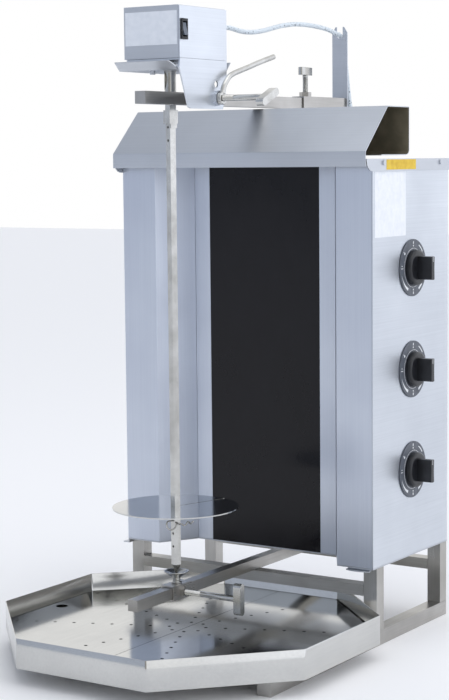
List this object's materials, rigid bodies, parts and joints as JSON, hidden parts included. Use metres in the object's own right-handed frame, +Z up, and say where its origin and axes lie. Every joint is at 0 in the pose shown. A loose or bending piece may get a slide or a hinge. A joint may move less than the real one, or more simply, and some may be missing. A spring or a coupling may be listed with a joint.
{
  "type": "vertical kebab grill",
  "caption": "Counter-top upright grill: glass-fronted heater wall, motor-driven vertical spit on a sliding arm, and an eight-sided drip tray below.",
  "frame": {"origin": "on the ground, in the middle of the outline without the motor cable", "axes": "+X towards the side with the knobs, +Y towards the back, +Z up"},
  "size_m": [0.476, 0.677, 0.853],
  "materials": {
    "tube": "drawn stainless square tube, satin",
    "steel": "stainless sheet, fine satin",
    "bright": "polished stainless",
    "glass": "dark ceramic glass, glossy",
    "black": "moulded black plastic",
    "bezel": "grey printed dial plate",
    "heater": "unglazed ceramic",
    "board": "pressed fibre insulation board",
    "motor": "cast and painted",
    "cable": "braided heat-proof sleeve"
  },
  "bodies": {
    "frame": {"rail_left": "tube", "rail_right": "tube", "post_front_left": "tube", "post_front_right": "tube", "post_rear_left": "tube", "post_rear_right": "tube", "cross_tube_front": "tube", "cross_tube_rear": "tube", "wing_left": "steel", "wing_right": "steel", "knob_panel": "steel", "base_panel": "steel", "back_panel": "steel", "glass_trim_left": "steel", "glass_trim_right": "steel", "glass_panel": "glass", "radiant_heater_1": "heater", "radiant_heater_2": "heater", "radiant_heater_3": "heater", "insulation_board": "board", "heat_regulator_1": "black", "heat_regulator_2": "black", "heat_regulator_3": "black", "lid": "steel", "hood": "steel", "knob_bezel_1": "bezel", "knob_bezel_2": "bezel", "knob_bezel_3": "bezel", "upright": "steel", "upper_tube": "tube", "lower_arm": "tube", "motor_cable": "cable", "cable_gland": "black", "mains_gland": "black"},
    "top_arm": {"upper_arm": "tube", "motor_bracket": "steel", "grease_shield": "steel", "motor_cover": "steel", "motor_side": "steel", "gear_motor": "motor", "motor_gland": "black", "switch_frame": "black"},
    "bearing": {"bearing_sleeve": "tube", "bearing_cup": "bright"},
    "spit": {"spit": "bright", "spring_clip": "bright"},
    "disc": {"meat_disc": "bright"},
    "drive": {"drive_shaft": "bright"},
    "coupling": {"coupling": "bright"},
    "arm_screw": {"arm_screw": "bright"},
    "bracket_screw": {"bracket_screw": "bright"},
    "bearing_screw": {"bearing_screw": "bright"},
    "lever": {"lever": "bright"},
    "rocker": {"switch_rocker": "black"},
    "knob_low": {"knob_1": "black"},
    "knob_middle": {"knob_2": "black"},
    "knob_high": {"knob_3": "black"},
    "tray": {"drip_tray": "bright"},
    "strainer_left": {"strainer_plate_left": "bright"},
    "strainer_right": {"strainer_plate_right": "bright"}
  },
  "joints": [
    {"name": "arm_slide", "type": "slide", "parent": "frame", "child": "top_arm", "axis": [0, 1, 0], "range_m": [-0.015, 0.075], "deforming": ["motor_cable"]},
    {"name": "bearing_slide", "type": "slide", "parent": "frame", "child": "bearing", "axis": [0, 1, 0], "range_m": [-0.015, 0.075]},
    {"name": "spit_spin", "type": "hinge", "parent": "bearing", "child": "spit", "pos_m": [0, -0.126, 0.4], "axis": [0, 0, 1], "continuous": true},
    {"name": "drive_spin", "type": "hinge", "parent": "top_arm", "child": "drive", "pos_m": [0, -0.126, 0.75], "axis": [0, 0, 1], "continuous": true},
    {"name": "coupling_lift", "type": "slide", "parent": "drive", "child": "coupling", "axis": [0, 0, 1], "range_m": [0, 0.0063]},
    {"name": "disc_slide", "type": "slide", "parent": "spit", "child": "disc", "axis": [0, 0, 1], "range_m": [0, 0.42]},
    {"name": "arm_screw_turn", "type": "hinge", "parent": "frame", "child": "arm_screw", "pos_m": [0, 0.216, 0.76], "axis": [0, 0, 1], "range_deg": [0, 360]},
    {"name": "bracket_screw_turn", "type": "hinge", "parent": "top_arm", "child": "bracket_screw", "pos_m": [0.08, -0.0835, 0.737], "axis": [1, 0, 0], "range_deg": [0, 360]},
    {"name": "bearing_screw_turn", "type": "hinge", "parent": "bearing", "child": "bearing_screw", "pos_m": [0.05, -0.126, 0.09], "axis": [1, 0, 0], "range_deg": [0, 360]},
    {"name": "lever_swing", "type": "hinge", "parent": "top_arm", "child": "lever", "pos_m": [0.0518, -0.0835, 0.737], "axis": [1, 0, 0], "range_deg": [-22, 40]},
    {"name": "switch_rock", "type": "hinge", "parent": "top_arm", "child": "rocker", "pos_m": [0.042, -0.1566, 0.822], "axis": [0, 1, 0], "range_deg": [0, 24]},
    {"name": "knob_low_turn", "type": "hinge", "parent": "frame", "child": "knob_low", "pos_m": [0.21, 0.158, 0.228], "axis": [1, 0, 0], "range_deg": [-300, 0]},
    {"name": "knob_middle_turn", "type": "hinge", "parent": "frame", "child": "knob_middle", "pos_m": [0.21, 0.158, 0.368], "axis": [1, 0, 0], "range_deg": [-300, 0]},
    {"name": "knob_high_turn", "type": "hinge", "parent": "frame", "child": "knob_high", "pos_m": [0.21, 0.158, 0.508], "axis": [1, 0, 0], "range_deg": [-300, 0]},
    {"name": "tray_slide", "type": "slide", "parent": "frame", "child": "tray", "axis": [0, -1, 0], "range_m": [0, 0.22]},
    {"name": "strainer_left_lift", "type": "slide", "parent": "tray", "child": "strainer_left", "axis": [0, 0, 1], "range_m": [0, 0.03]},
    {"name": "strainer_right_lift", "type": "slide", "parent": "tray", "child": "strainer_right", "axis": [0, 0, 1], "range_m": [0, 0.03]}
  ],
  "couplings": [
    {"joint": "bearing_slide", "follows": "arm_slide", "ratio": 1},
    {"joint": "drive_spin", "follows": "spit_spin", "ratio": 1}
  ]
}
